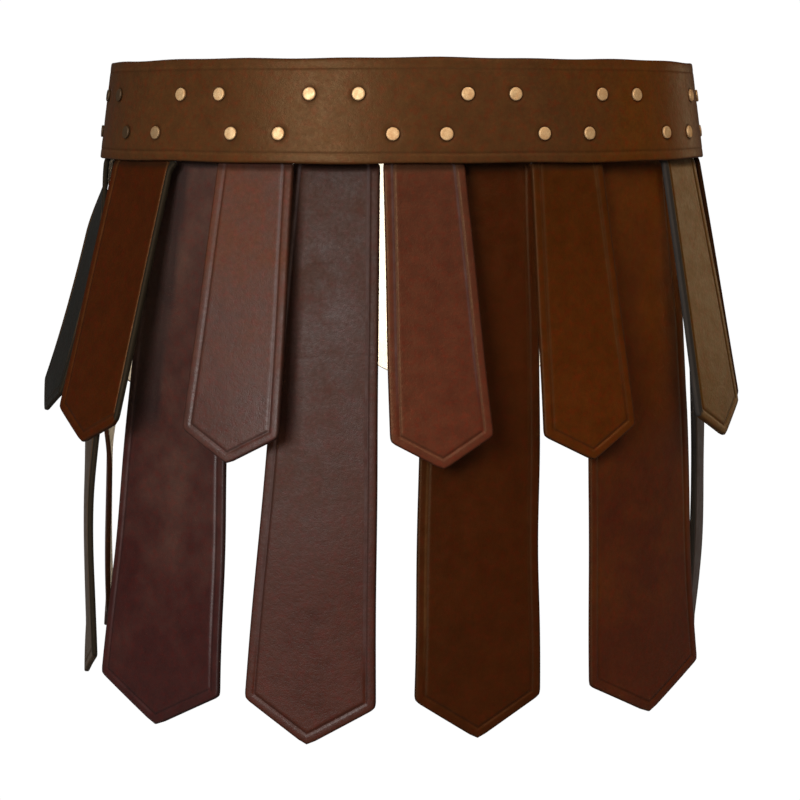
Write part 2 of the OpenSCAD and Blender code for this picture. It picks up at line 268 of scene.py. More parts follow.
def crease(d):
    """Depth of the tooled line at distance d from the edge, with a slight swelling at its sides."""
    swelling = SWELL_HEIGHT * bell(np.abs(d - CREASE_IN) - SWELL_BESIDE, SWELL_W)
    return CREASE_DEPTH * bell(d - CREASE_IN, CREASE_W) - swelling


def crease_shade_and_burnish(d, lit_side):
    """Painted shade, with darker dye, in the tooled line away from its lit side, and the darker burnished
    edge.
    """
    line = bell(d - CREASE_IN + LINE_SHADE_SHIFT * lit_side, LINE_SHADE_W)
    return LINE_SHADE * line + EDGE_DARK * bell(d, EDGE_DARK_W)


def crease_highlight_and_wear(d, lit_side):
    """Painted highlight, with some wear, on one side of the tooled line: 1 is the side away from the edge,
    -1 the side next to it.
    """
    return bell(d - CREASE_IN - HIGHLIGHT_SHIFT * lit_side, HIGHLIGHT_W)


def make_mesh(name, points, faces, uv=None, layers=None, face_slots=None):
    """A smooth mesh object from points in millimetres. uv holds metres, layers named values."""
    mesh = bpy.data.meshes.new(name)
    mesh.from_pydata((np.asarray(points) * MM).tolist(), [], [tuple(f) for f in faces])
    corners = np.empty(len(mesh.loops), np.int32)
    mesh.loops.foreach_get("vertex_index", corners)
    if uv is not None:
        layer = mesh.uv_layers.new(name="hide_map")
        layer.data.foreach_set("uv", np.asarray(uv, np.float32)[corners].ravel())
    for layer_name, values in (layers or {}).items():
        made = mesh.attributes.new(layer_name, "FLOAT", "POINT")
        made.data.foreach_set("value", np.asarray(values, np.float32))
    if face_slots is not None:
        mesh.polygons.foreach_set("material_index", np.asarray(face_slots, np.int32))
    mesh.polygons.foreach_set("use_smooth", np.ones(len(mesh.polygons), bool))
    mesh.validate()
    mesh.update()
    made = bpy.data.objects.new(name, mesh)
    bpy.context.scene.collection.objects.link(made)
    return made


def grid_faces(rows, cols, start=0, flip=False):
    """Quads of a grid of rows x cols points that starts at index start."""
    i = np.arange(rows - 1)[:, None] * cols + np.arange(cols - 1)[None, :] + start
    quads = np.stack([i, i + cols, i + cols + 1, i + 1], -1).reshape(-1, 4)
    return quads[:, ::-1] if flip else quads


# Materials

# Tint of the wax's gloss, painted shade on some margins, painted highlight with some wear, and the places
# where these are cool
WARM_GLOSS = (1.0, 0.62, 0.32)
COOL_GLOSS = (1.0, 1.0, 1.0)
SHADE_SLATE = (0.026, 0.027, 0.029)
DEEP_SHADE_SLATE = (0.010, 0.010, 0.008)
WARM_WEAR_HIGHLIGHT = (0.17, 0.08, 0.028)
COOL_WEAR_HIGHLIGHT = (0.13, 0.095, 0.097)
COOL_PLACES = (-3, -2, -1)
COOL_HIGHLIGHT_PLACES = (-3, -2, -1, 0)

# Scales of the leather's patterns, in waves per metre
CLOUDS = 22.0
BLOTCHES = 95.0
FLECKS = 240.0
MOTTLES = 420.0
PORES = 1150.0

# Roughness of the waxed grain side, and how much is added where it has painted shade, painted margin shade
# or is worn matt
WAXED_ROUGH = (0.32, 0.43)
DARK_ROUGH = 0.35
MARGIN_SHADE_ROUGH = 0.3

# How far one seed moves a pattern, in metres, so that pieces show different stretches of it
HIDE_SHIFT = (1.37, 0.71, 0.29)
METAL_SHIFT = (0.37, 0.21, 0.11)


class Tree:
    """Short calls that add shader nodes to one material."""

    def __init__(self, name):
        self.material = bpy.data.materials.new(name)
        self.material.use_nodes = True
        self.nodes = self.material.node_tree.nodes
        self.links = self.material.node_tree.links
        self.nodes.clear()
        self.out = self.nodes.new("ShaderNodeOutputMaterial")
        self.shader = self.nodes.new("ShaderNodeBsdfPrincipled")
        self.links.new(self.shader.outputs[0], self.out.inputs["Surface"])

    def put(self, socket, value):
        """Links value to the socket if it is an output, or else sets it."""
        if isinstance(value, bpy.types.NodeSocket):
            self.links.new(value, socket)
        else:
            socket.default_value = value

    def node(self, kind, inputs=None, **settings):
        """A node with these settings and inputs."""
        made = self.nodes.new(kind)
        for key, value in settings.items():
            setattr(made, key, value)
        for key, value in (inputs or {}).items():
            self.put(made.inputs[key], value)
        return made

    def maths(self, operation, a, b, c=0.0):
        """Result of a maths node."""
        return self.node("ShaderNodeMath", {0: a, 1: b, 2: c}, operation=operation).outputs[0]

    def noise(self, where, scale, detail, rough=0.55):
        """Noise value from 0 to 1; scale is in waves per metre."""
        inputs = {"Vector": where, "Scale": scale, "Detail": detail, "Roughness": rough}
        return self.node("ShaderNodeTexNoise", inputs).outputs[0]

    def spread(self, value, low, high, start=0.3, end=0.7):
        """value from start..end made to run from low to high."""
        inputs = {"Value": value, "From Min": start, "From Max": end, "To Min": low, "To Max": high}
        return self.node("ShaderNodeMapRange", inputs).outputs[0]

    def mix(self, share, a, b, blend="MIX"):
        """Mix of two colours, which are inputs 6 and 7 and output 2 of the node."""
        made = self.node("ShaderNodeMix", data_type="RGBA", blend_type=blend)
        self.put(made.inputs[0], share)
        self.put(made.inputs[6], a)
        self.put(made.inputs[7], b)
        return made.outputs[2]

    def tint(self, share, tone, by):
        """tone, multiplied by another colour for this share."""
        return self.mix(share, tone, self.mix(1.0, tone, rgba(by), "MULTIPLY"))

    def bump(self, height, distance, strength, normal=None):
        """Normal of a surface with small relief; distance is in millimetres."""
        inputs = {"Height": height, "Distance": distance * MM, "Strength": strength}
        if normal is not None:
            inputs["Normal"] = normal
        return self.node("ShaderNodeBump", inputs).outputs[0]

    def attribute(self, name):
        """Value of a mesh layer."""
        return self.node("ShaderNodeAttribute", attribute_name=name).outputs["Fac"]

    def finish(self, **sockets):
        """Sets the shader's inputs and gives the material."""
        for key, value in sockets.items():
            self.put(self.shader.inputs[key.replace("_", " ")], value)
        return self.material


def rgba(colour, gain=1.0):
    """A colour socket's value."""
    return (*[c * gain for c in colour], 1.0)


def place_on(tree, seed, mapped=True, shift=HIDE_SHIFT):
    """Texture coordinates in metres: the hide's map, or the frame's axes on a CAD node or metal."""
    if mapped:
        base = tree.node("ShaderNodeUVMap", uv_map="hide_map").outputs[0]
    else:
        base = tree.node("ShaderNodeTexCoord").outputs["Object"]
    inputs = {0: base, 1: tuple(seed * step for step in shift)}
    return tree.node("ShaderNodeVectorMath", inputs, operation="ADD").outputs[0]


def dyed_leather(name, top, low, seed, mapped=True, margin_shade_colour=None, gloss=WARM_GLOSS, wear_highlight_colour=WARM_WEAR_HIGHLIGHT,
                 shine=USUAL_SHINE, matt_top=0.0):
    """Waxed, dyed leather, grain side. Its tone runs from top to low along the strip."""
    tree = Tree(name)
    where = place_on(tree, seed, mapped)
    cloud = tree.noise(where, CLOUDS, 3.0)
    blotch = tree.noise(where, BLOTCHES, 4.0, 0.6)
    mottle = tree.noise(where, MOTTLES, 3.0, 0.6)
    flecks = tree.noise(where, FLECKS, 3.0, 0.65)
    pores = tree.node("ShaderNodeTexVoronoi", {"Vector": where, "Scale": PORES}).outputs["Distance"]

    # Colour: tone, clouds, light blotches, dark mottle, red and green flecks, painted shade, then painted
    # highlight and wear
    if mapped:
        along = tree.maths("ADD", tree.attribute("along"), tree.spread(cloud, -0.25, 0.25))
        tone = tree.mix(tree.spread(along, 0.0, 1.0, 0.1, 0.8), rgba(TONES[top]), rgba(TONES[low]))
    else:
        tone = rgba(TONES[top])
    tone = tree.tint(tree.spread(cloud, 0.0, 0.4), tone, (0.62, 0.66, 0.75))
    tone = tree.tint(tree.spread(blotch, 0.0, 0.5), tone, (1.5, 1.35, 1.2))
    tone = tree.tint(tree.spread(mottle, 0.0, 0.4), tone, (0.55, 0.55, 0.6))
    tone = tree.tint(tree.spread(flecks, 0.0, 0.7, 0.5, 0.7), tone, (1.2, 0.8, 0.75))
    tone = tree.tint(tree.spread(flecks, 0.7, 0.0), tone, (0.85, 1.15, 1.1))
    if mapped:
        # Painted shade, with the darker dye of the tooled line and burnished edge
        shade_and_burnish = tree.attribute("shade_and_burnish")
        tone = tree.tint(shade_and_burnish, tone, (0.28, 0.26, 0.27))
        # Painted shade in slate on the margins that face away from the light
        if margin_shade_colour:
            tone = tree.mix(tree.attribute("margin_shade_mask"), tone, rgba(margin_shade_colour))
        # Painted highlight, with some wear, beside the tooled line
        wear_and_highlight = tree.maths("MULTIPLY", tree.attribute("wear_and_highlight"), tree.spread(blotch, 0.25, 0.6))
        tone = tree.mix(wear_and_highlight, tone, rgba(wear_highlight_colour))

    rough = tree.spread(tree.maths("ADD", blotch, tree.spread(mottle, -0.15, 0.15)), *WAXED_ROUGH)
    if mapped:
        rough = tree.maths("MULTIPLY_ADD", shade_and_burnish, DARK_ROUGH, rough)
        rough = tree.maths("MULTIPLY_ADD", tree.attribute("margin_shade_mask"), MARGIN_SHADE_ROUGH, rough)
        rough = tree.maths("MULTIPLY_ADD", tree.spread(along, 1.0, 0.0, 0.0, 1.0), matt_top, rough)
    relief = tree.bump(tree.spread(pores, 0.0, 1.0, 0.0, 0.6), distance=0.1, strength=0.35)
    relief = tree.bump(mottle, distance=0.35, strength=0.3, normal=relief)
    relief = tree.bump(blotch, distance=0.8, strength=0.25, normal=relief)
    return tree.finish(
        Base_Color=tone,
        Roughness=rough,
        Specular_IOR_Level=shine,
        Specular_Tint=rgba(gloss),
        Normal=relief,
    )


def flesh_side(name, seed):
    """Rough, undyed flesh side of the leather."""
    tree = Tree(name)
    where = place_on(tree, seed)
    cloud = tree.noise(where, 30.0, 3.0)
    fibre = tree.noise(where, 650.0, 5.0, 0.7)
    specks = tree.noise(where, 1500.0, 2.0, 0.5)
    tone = tree.mix(tree.spread(cloud, 0.0, 1.0), rgba((0.80, 0.72, 0.58)), rgba((0.88, 0.83, 0.72)))
    tone = tree.mix(tree.spread(fibre, 0.0, 0.45), tone, rgba((0.55, 0.42, 0.27)))
    tone = tree.mix(tree.spread(specks, 0.0, 0.5, 0.62, 0.72), tone, rgba((0.12, 0.07, 0.035)))
    return tree.finish(
        Base_Color=tone,
        Roughness=0.92,
        Specular_IOR_Level=0.2,
        Sheen_Weight=0.15,
        Normal=tree.bump(fibre, distance=0.5, strength=0.5),
    )


def metal(name, bright, dull, seed, rough, metallic=1.0):
    """Worked metal that has dulled in patches, with fine scuffs; a painted shade layer darkens it."""
    tree = Tree(name)
    where = place_on(tree, seed, mapped=False, shift=METAL_SHIFT)
    patch = tree.noise(where, 260.0, 4.0, 0.6)
    scuff = tree.noise(where, 1300.0, 3.0, 0.6)
    tone = tree.mix(tree.spread(patch, 0.0, 1.0, 0.35, 0.7), rgba(bright), rgba(dull))
    tone = tree.mix(tree.spread(scuff, 0.0, 0.7), tone, rgba(dull, 0.75))
    # Painted shade, where a rivet's mesh asks for it
    tone = tree.mix(tree.attribute("painted_shade"), tone, rgba(dull, 0.12))
    return tree.finish(
        Base_Color=tone,
        Metallic=metallic,
        Roughness=tree.spread(patch, *rough),
        Normal=tree.bump(scuff, distance=0.08, strength=0.5),
    )


FLESH = flesh_side("flesh_side", 3)
COPPER = metal("copper", (0.98, 0.68, 0.36), (0.78, 0.44, 0.20), 1, (0.44, 0.60), metallic=0.4)
COPPER_DULL = metal("copper_dull", (0.66, 0.40, 0.26), (0.38, 0.20, 0.12), 2, (0.4, 0.6))
BRASS = metal("brass", (0.66, 0.47, 0.20), (0.36, 0.24, 0.10), 4, (0.25, 0.42))
STRAP_LEATHER = dyed_leather("strap_leather", "umber", "umber", 31, mapped=False)


# The band


def rivet_spots(places, spread, z):
    """Distance along the band and height of each rivet of a row, two for each strip."""
    return [(strip_s(k) + side * spread / 2, z) for k in places for side in (-1, 1)]


SHORT_PLACES = [2 * i - SHORT_COUNT for i in range(1, SHORT_COUNT + 1)]
LONG_PLACES = [2 * i - 1 - LONG_COUNT for i in range(1, LONG_COUNT + 1)]
LOW_SPOTS = rivet_spots(SHORT_PLACES, LOWER_SPREAD, LOWER_ROW_Z)
HIGH_SPOTS = rivet_spots(LONG_PLACES, UPPER_SPREAD, UPPER_ROW_Z)

# Ends of the open band, as distances from the front centre
BAND_START = BUCKLE_S + BELT_GAP / 2 - WAIST
BAND_END = BUCKLE_S - BELT_GAP / 2

# Rows of the band's mesh: usual and closer spacing, its reach round a rivet, and space at the ends
BAND_STEP = 3.0
RIVET_STEP = 1.0
RIVET_REACH = 8.0
END_CLEAR = 12.0
LEAST_BAND_STEP = 0.2

# Lines of the band's mesh: between the margins of its outside, and on its plain inner side
OUTER_LINES = 32
INNER_STEPS = np.array([0, 0.4, 1.2, 4.0])
INNER_HEIGHTS = np.linspace(52, 12, 5)

# Strength of the tooled line, its painted shade and dye, and its painted highlight and wear on the band,
# over those of the strips
BAND_CREASE = 0.3
BAND_DARK = 0.6
BAND_HIGHLIGHT = 0.25

# Leather pressed in round a rivet, with painted shade in a ring round its head, partly darker pressed
# leather: how deep, how dark, and the start and run of each
NEAR_RIVET = 9.0
DIMPLE_DEPTH = 0.32
DIMPLE = (7.2, -3.4)
RING_SHADE = 0.75
SHADE_RING = (6.0, -2.2)

# Slow waves of the band's hand-cut edges: height, length and start of each
LOW_WAVES = ((0.30, 31.0, 0.4), (0.22, 12.7, 2.0))
TOP_WAVES = ((0.28, 24.0, 1.1), (0.2, 9.9, 0.0))

# The band turns amber to the right of the front centre, and back again
AMBER = (60, 160)
UMBER_AGAIN = (430, -110)


def wrap(s):
    """Distance along the band brought into the run of the open band."""
    return (np.asarray(s, float) - BAND_START) % WAIST + BAND_START


def waves(s, rows):
    """Sum of slow waves along the band."""
    return sum(height * np.sin(s / length + start) for height, length, start in rows)


def band_rows(spots):
    """Distances along the band of its mesh's rows: closer together at the rivets and at both ends."""
    rows = np.concatenate([
        np.arange(BAND_START + END_CLEAR, BAND_END - END_CLEAR, BAND_STEP),
        (spots[:, :1] + np.arange(-RIVET_REACH, RIVET_REACH + 0.1, RIVET_STEP)).ravel(),
        BAND_START + EDGE_STEPS,
        BAND_END - EDGE_STEPS,
    ])
    rows = np.unique(np.round(rows[(rows >= BAND_START) & (rows <= BAND_END)], 2))
    rows = rows[np.concatenate([[True], np.diff(rows) > LEAST_BAND_STEP])]
    rows[-1] = BAND_END
    return rows


def band_outside(spots, rows, heights):
    """Outside of the band: its points' place along it, height, depth under the face, painted shade and
    dye, and painted highlight and wear.
    """
    s, h = np.meshgrid(rows, heights, indexing="ij")
    d_end = np.minimum(s - BAND_START, BAND_END - s)
    d_edge = np.minimum(h, BELT_H - h)
    depth = edge_drop(np.minimum(d_edge, d_end), *FRONT_EDGE) + BAND_CREASE * crease(d_edge)
    # Painted shade and dye in the tooled line and on the burnished edge, and a painted highlight with wear
    # beside the line
    shade_and_burnish = BAND_DARK * crease_shade_and_burnish(d_edge, -1)
    wear_and_highlight = BAND_HIGHLIGHT * crease_highlight_and_wear(d_edge, -1)
    for spot_s, spot_z in spots:
        close = np.abs(rows - spot_s) < NEAR_RIVET
        distance = np.hypot(s[close] - spot_s, (h[close] - spot_z) / math.cos(TILT))
        depth[close] += DIMPLE_DEPTH * ramp(distance, *DIMPLE)
        # Painted shade round the rivet's head, partly the darker pressed leather
        shade_and_burnish[close] = np.maximum(shade_and_burnish[close], RING_SHADE * ramp(distance, *SHADE_RING))
    return s, h, depth, shade_and_burnish, wear_and_highlight


def tube_faces(rows, cols):
    """Faces of a closed tube of rows rings of cols points, with both of its ends."""
    index = np.arange(rows * cols).reshape(rows, cols)
    ahead = np.roll(index, -1, axis=1)
    quads = np.stack([index[:-1], index[1:], ahead[1:], ahead[:-1]], -1).reshape(-1, 4)
    return [tuple(quad) for quad in quads] + [tuple(index[0]), tuple(index[-1][::-1])]


def make_band():
    """The waist band: rounded and creased edges, and the leather pressed in round each rivet."""
    spots = np.array([(wrap(s), z) for s, z in LOW_SPOTS + HIGH_SPOTS])
    rows = band_rows(spots)
    middle = np.linspace(EDGE_STEPS[-1], BELT_H - EDGE_STEPS[-1], OUTER_LINES)[1:-1]
    outer_h = np.concatenate([EDGE_STEPS, middle, BELT_H - EDGE_STEPS[::-1]])
    inner_h = np.concatenate([BELT_H - INNER_STEPS, INNER_HEIGHTS, INNER_STEPS[::-1]])

    s, h, depth, shade_and_burnish, wear_and_highlight = band_outside(spots, rows, outer_h)
    s_in, h_in = np.meshgrid(rows, inner_h, indexing="ij")
    d_in = np.minimum(np.minimum(h_in, BELT_H - h_in), np.minimum(s_in - BAND_START, BAND_END - s_in))
    inner_off = -h_in * IN_PER_MM - BELT_WALL + edge_drop(d_in, *BAND_BACK_EDGE)

    # Each row is a loop, up the outside and down the inside; its edges waver a little
    loop_s = np.concatenate([s, s_in], 1)
    loop_h = np.concatenate([h, h_in], 1)
    loop_off = np.concatenate([-h * IN_PER_MM - depth, inner_off], 1)
    over_middle = loop_h / BELT_H * 2 - 1
    waver = np.where(over_middle < 0, waves(loop_s, LOW_WAVES), waves(loop_s, TOP_WAVES))
    x, y = oval(loop_s, loop_off)
    points = np.stack([x, y, loop_h + waver * over_middle**4], -1)

    cols = len(outer_h) + len(inner_h)
    inside = np.arange(cols) >= len(outer_h)
    inside[-1] = False
    slots = np.concatenate([np.tile(inside.astype(int), len(rows) - 1), [0, 0]])
    uv = np.stack([loop_s * MM, loop_h * MM], -1).reshape(-1, 2)
    layers = {
        "shade_and_burnish": np.concatenate([shade_and_burnish, np.zeros_like(h_in)], 1).ravel(),
        "wear_and_highlight": np.concatenate([wear_and_highlight, np.zeros_like(h_in)], 1).ravel(),
        "along": (ramp(loop_s, *AMBER) * ramp(loop_s, *UMBER_AGAIN)).ravel(),
    }
    faces = tube_faces(len(rows), cols)
    band = make_mesh("band_leather_piece", points.reshape(-1, 3), faces, uv, layers, slots)
    band.data.materials.append(dyed_leather("band_leather", "umber", "amber", 7, shine=BAND_SHINE))
    band.data.materials.append(FLESH)
    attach(band, "belt")
    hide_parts("belt_band")


# The strips

# Centre line of a strip: how far below the bend it is traced and used, its samples and its easing
TRACED_BELOW = 40.0
USED_BELOW = 30.0
PATH_STEP = 0.25
EASE_SPREAD = 8.0
EASE_REACH = 24

# Rows of a strip's mesh: at its top edge, down its top, at the bend and at each wrinkle
TOP_STEPS = np.array([0, 0.4, 1.0, 2.0])
TOP_FIRST = 5.0
TOP_STEP = 4.0
BEND_REACH = 14.0
BEND_STEP = 1.5
BLADE_FIRST = 17.0
WRINKLE_REACH = 3.2
WRINKLE_STEP = 0.8
LEAST_ROW_STEP = 0.35

# Rows that turn from straight into the point's sides: their start above the shoulders, and number
TURN_ABOVE = 34.0
TURN_ROWS = 7

# Columns between the two margins, as shares of the way from the middle to the margin
COLUMNS = np.linspace(-1, 1, 13)[1:-1]

# Hand-cut outline: rounding of the corners, and slow waves of the sides
CORNER_REACH = 4.5
CORNER_IN = 0.8
SIDE_WAVE = 0.35
SIDE_WAVE_LENGTH = 23.0

# A side that was cut fuller: where it swells, where most of that goes again, and how it curls back
FULLER = (20, 90)
SLIMMER = (160, 100)
SLIMMER_BY = 0.75
FULL_CURL = 0.35

# Width of a folded margin, and where the fold starts below the band
TUCK_W = 8.0
TUCK = (-2, 8)

# A strip's top follows the band's curve and its blade is flat: where the curve comes in, upwards
CURVED = (3, -9)

# Cupping across the blade, slow waves along it, and where the tooled line starts
CUPPED = (40, 120)
TOOLED = (-12, 10)
WAVE_LENGTH = 47.0
WAVE_SHIFT = 1.7
WAVE_SLANT = 0.4
WRINKLE_W = 0.8

# Painted shade in wrinkles, painted shadow under the band's edge and beside a short strip, and darkness of
# the back's points
WRINKLE_SHADE = 1.2
BAND_SHADOW_DARK = 0.85
BAND_SHADOW_REACH = (4.5, -3.5)
SHADOW_DARK = 0.9
USUAL_SHADOW_DARK = 0.3
SHADOW_ACROSS = (6, -6)
SHADOW_DOWN = (14, -24)
BACK_DARK = 0.6

# Painted highlight, with some wear, on the point's tooled line, and how far above the shoulders that of
# the sides starts
POINT_HIGHLIGHT = 0.12
SIDES_HIGHLIGHT = (-8, -45)

# Rings of faces that are dyed at the edge of a back
DYED_RINGS = 2


def smooth_path(corners):
    """Even samples of the eased line through (out, z) corners: length along it, then out and z."""
    corners = np.array(corners, float)
    runs = np.concatenate([[0], np.cumsum(np.hypot(*np.diff(corners, axis=0).T))])
    along = np.arange(0, runs[-1], PATH_STEP)
    line = np.stack([np.interp(along, runs, corners[:, i]) for i in (0, 1)], -1)
    reach = np.arange(-EASE_REACH, EASE_REACH + 1)
    weights = np.exp(-0.5 * (reach / EASE_SPREAD) ** 2)
    weights /= weights.sum()
    before = line[0] + (line[0] - line[1]) * np.arange(EASE_REACH, 0, -1)[:, None]
    after = line[-1] + (line[-1] - line[-2]) * np.arange(1, EASE_REACH + 1)[:, None]
    padded = np.concatenate([before, line, after])
    eased = np.stack([np.convolve(padded[:, i], weights, "valid") for i in (0, 1)], -1)
    return along, eased


def shell_faces(rows, cols):
    """Faces of a closed shell of two grids, and their slots: the second inside a back's dyed edge."""
    count = rows * cols
    index = np.arange(count).reshape(rows, cols)
    rim = np.concatenate([index[0, :-1], index[:-1, -1], index[-1, :0:-1], index[:0:-1, 0]])
    ahead = np.roll(rim, -1)
    rim_faces = np.stack([rim, ahead, ahead + count, rim + count], -1)
    back_slots = np.zeros((rows - 1, cols - 1))
    back_slots[DYED_RINGS:-DYED_RINGS, DYED_RINGS:-DYED_RINGS] = 1
    slots = np.concatenate([np.zeros(back_slots.size), back_slots.ravel(), np.zeros(len(rim))])
    faces = [grid_faces(rows, cols), grid_faces(rows, cols, count, flip=True), rim_faces]
    return np.concatenate(faces), slots


class Strip:
    """The strip at place k: its riveted top behind the band, the bend, and the hanging blade."""

    def __init__(self, k):
        flare, lean, top_extra, low_extra, self.top_tone, self.low_tone = hang(k)[2:]
        self.k = k
        self.short = k % 2 == 0
        self.kind = SHORT if self.short else LONG
        self.looks = SHORT_LOOKS if self.short else LONG_LOOKS
        self.flare = math.radians(flare)
        self.lean = math.radians(lean)
        self.length = self.kind["length"]
        self.point = self.kind["point"]
        self.half_top = (self.kind["top_w"] + top_extra) / 2
        self.half_low = (self.kind["low_w"] + low_extra) / 2
        self.mid = SHORT_MID if self.short else LONG_MID
        self.wrinkles = WRINKLES.get(k, ())
        self.turn_v = self.length - TURN_ABOVE
        number = (k + SHORT_COUNT) // 2 if self.short else (k + 1 + LONG_COUNT) // 2
        self.body = f"{'short' if self.short else 'long'}_strip_{number}"
        self.face = float(facing(blade_s(k)))
        self.base_x, self.base_y = oval(blade_s(k), self.mid)
        self.trace_path()
        self.cut_out()
        self.trim_sides()
        self.lean_over()

    def trace_path(self):
        """Centre line of the strip seen from its side: distance below the bend, then out and z."""
        top_h = self.kind["top_h"]
        if self.short:
            above = [(-top_h * IN_PER_MM, top_h), (0, 0)]
        else:
            out = SHORT_MID - LONG_MID
            step_start = (out - STEP_START_Z * IN_PER_MM, STEP_START_Z)
            above = [(out - top_h * IN_PER_MM, top_h), step_start, (0, STEP_END_Z)]
        end = (math.sin(self.flare) * TRACED_BELOW, BEND_Z - math.cos(self.flare) * TRACED_BELOW)
        path = above + [(0, BEND_Z), end]
        to_bend = sum(math.dist(path[i], path[i + 1]) for i in range(len(path) - 2))
        along, self.path = smooth_path(path)
        self.path_v = along - to_bend
        self.top_v = -to_bend

    def straight_rows(self):
        """Distances below the bend of the rows that run straight across."""
        wrinkle = np.arange(-WRINKLE_REACH, WRINKLE_REACH + 0.1, WRINKLE_STEP)
        parts = [
            self.top_v + TOP_STEPS,
            np.arange(self.top_v + TOP_FIRST, -BEND_REACH, TOP_STEP),
            np.arange(-BEND_REACH, BEND_REACH + 0.1, BEND_STEP),
            np.arange(BLADE_FIRST, self.turn_v, self.looks["row_step"]),
            *[at + wrinkle for at, *_ in self.wrinkles],
            [self.turn_v],
        ]
        rows = np.unique(np.round(np.concatenate(parts), 2))
        return rows[np.concatenate([[True], np.diff(rows) > LEAST_ROW_STEP])]

    def cut_out(self):
        """The strip as cut: points at x across it and v below the bend, and how far in each one is."""
        margin = EDGE_STEPS[-1]
        inner_x = COLUMNS * (self.half_low - margin)
        x_low = np.concatenate([EDGE_STEPS - self.half_low, inner_x, self.half_low - EDGE_STEPS[::-1]])
        end_v = self.length + self.point * (1 - np.abs(x_low) / self.half_low)
        slant = math.cos(math.atan(self.point / self.half_low))
        share = np.linspace(0, 1, TURN_ROWS + 1)[1:, None]
        turning = self.turn_v + share * (end_v - margin / slant - self.turn_v)
        edge_rows = end_v - EDGE_STEPS[::-1][1:, None] / slant
        straight = np.repeat(self.straight_rows()[:, None], len(x_low), 1)
        self.v = np.concatenate([straight, turning, edge_rows])

        self.widened = ramp(self.v, -WIDEN, WIDEN)
        widening = TOP_W / 2 + (self.half_top - TOP_W / 2) * self.widened
        hanging = np.clip(self.v / self.length, 0, 1)
        tapering = self.half_top + (self.half_low - self.half_top) * hanging
        self.half_at = np.where(self.v < 0, widening, tapering)
        edge = len(EDGE_STEPS)
        left = EDGE_STEPS - self.half_at[:, :edge]
        inner = COLUMNS * (self.half_at[:, edge:-edge] - margin)
        right = self.half_at[:, -edge:] - EDGE_STEPS[::-1]
        self.x = np.concatenate([left, inner, right], 1)

        self.d_side = self.half_at - np.abs(self.x)
        tip_v = self.length + self.point * (1 - np.abs(self.x) / self.half_low)
        self.d_point = (tip_v - self.v) * slant
        self.d_edge = np.minimum(self.d_side, np.maximum(self.d_point, 0))
        self.d_rim = np.minimum(self.d_edge, self.v - self.top_v)

    def by_side(self, table, usual):
        """Value that a table gives for each point's side of the strip."""
        return np.where(self.x > 0, table.get((self.k, 1), usual), table.get((self.k, -1), usual))

    def trim_sides(self):
        """Rounds the corners a little, lets the sides waver, and makes one fuller or folds it back."""
        corners = ((-self.half_low, self.length, 0.87, -0.5), (self.half_low, self.length, -0.87, -0.5),
                   (0, self.length + self.point, 0, -1))
        for corner_x, corner_v, in_x, in_v in corners:
            distance = np.hypot(self.x - corner_x, self.v - corner_v)
            near = 1 - np.clip(distance / CORNER_REACH, 0, 1)
            self.x = self.x + CORNER_IN * in_x * near**2
            self.v = self.v + CORNER_IN * in_v * near**2

        self.hanging = np.clip(self.v / self.length, 0, 1)
        wave = SIDE_WAVE * np.sin(self.v / SIDE_WAVE_LENGTH + self.k)
        self.x = self.x + wave * np.abs(self.x) / self.half_low * self.hanging
        swell = ramp(self.v, *FULLER) * (1 - SLIMMER_BY * ramp(self.v, *SLIMMER))
        swell = swell * (self.x / self.half_at) ** 2
        self.fuller = self.by_side(FULL_SIDE, 0) * swell
        self.x = self.x + self.fuller * np.sign(self.x)
        in_tuck = ramp(self.x - self.half_at, -TUCK_W, TUCK_W) * ramp(self.v, *TUCK)
        self.x = self.x - TUCKED.get(self.k, 0) * in_tuck

    def lean_over(self):
        """Leans the blade in its own plane: across and down are x and v after that."""
        below = np.maximum(self.v, 0)
        across = self.x * (1 - self.hanging + self.hanging * math.cos(self.lean))
        across = across + below * math.sin(self.lean)
        self.across = across + (strip_s(self.k) - blade_s(self.k)) * (1 - self.widened)
        leaned = below * math.cos(self.lean) - self.hanging * self.x * math.sin(self.lean)
        self.down = np.where(self.v > 0, leaned, self.v)

    def centre_surface(self):
        """Points in the middle of the leather: curved with the band behind it, flat where it hangs."""
        near = self.down < USED_BELOW
        near_out = np.interp(self.down, self.path_v, self.path[:, 0])
        near_z = np.interp(self.down, self.path_v, self.path[:, 1])
        out = np.where(near, near_out, math.sin(self.flare) * self.down)
        out = out + 4 * BELLY.get(self.k, 0) * self.hanging * (1 - self.hanging)
        z = np.where(near, near_z, BEND_Z - math.cos(self.flare) * self.down)
        turned = math.radians(TWIST.get(self.k, 0)) * ramp(self.down, *self.looks["twist"])
        sideways = self.across * np.cos(turned)
        outward = out - self.across * np.sin(turned)
        flat_x = self.base_x + math.cos(self.face) * sideways + math.sin(self.face) * outward
        flat_y = self.base_y + math.sin(self.face) * sideways - math.cos(self.face) * outward
        off = self.mid + out
        radius = float(arc_radius(blade_s(self.k)))
        curved_x, curved_y = oval(blade_s(self.k) + self.across * radius / (radius + off), off)
        bent = ramp(self.down, *CURVED)
        x = curved_x * bent + flat_x * (1 - bent)
        y = curved_y * bent + flat_y * (1 - bent)
        return np.stack([x, y, z], -1)

    def wrinkle_depth(self):
        """Depth of the fine wrinkles across the blade."""
        depth = np.zeros_like(self.x)
        for at, most, slope in self.wrinkles:
            line = at + slope * self.x + 1.2 * np.sin(self.x / 11.0 + at)
            strength = 0.55 + 0.45 * np.sin(self.x / 7.0 + at)
            depth += most * strength * bell(self.down - line, WRINKLE_W)
        return depth

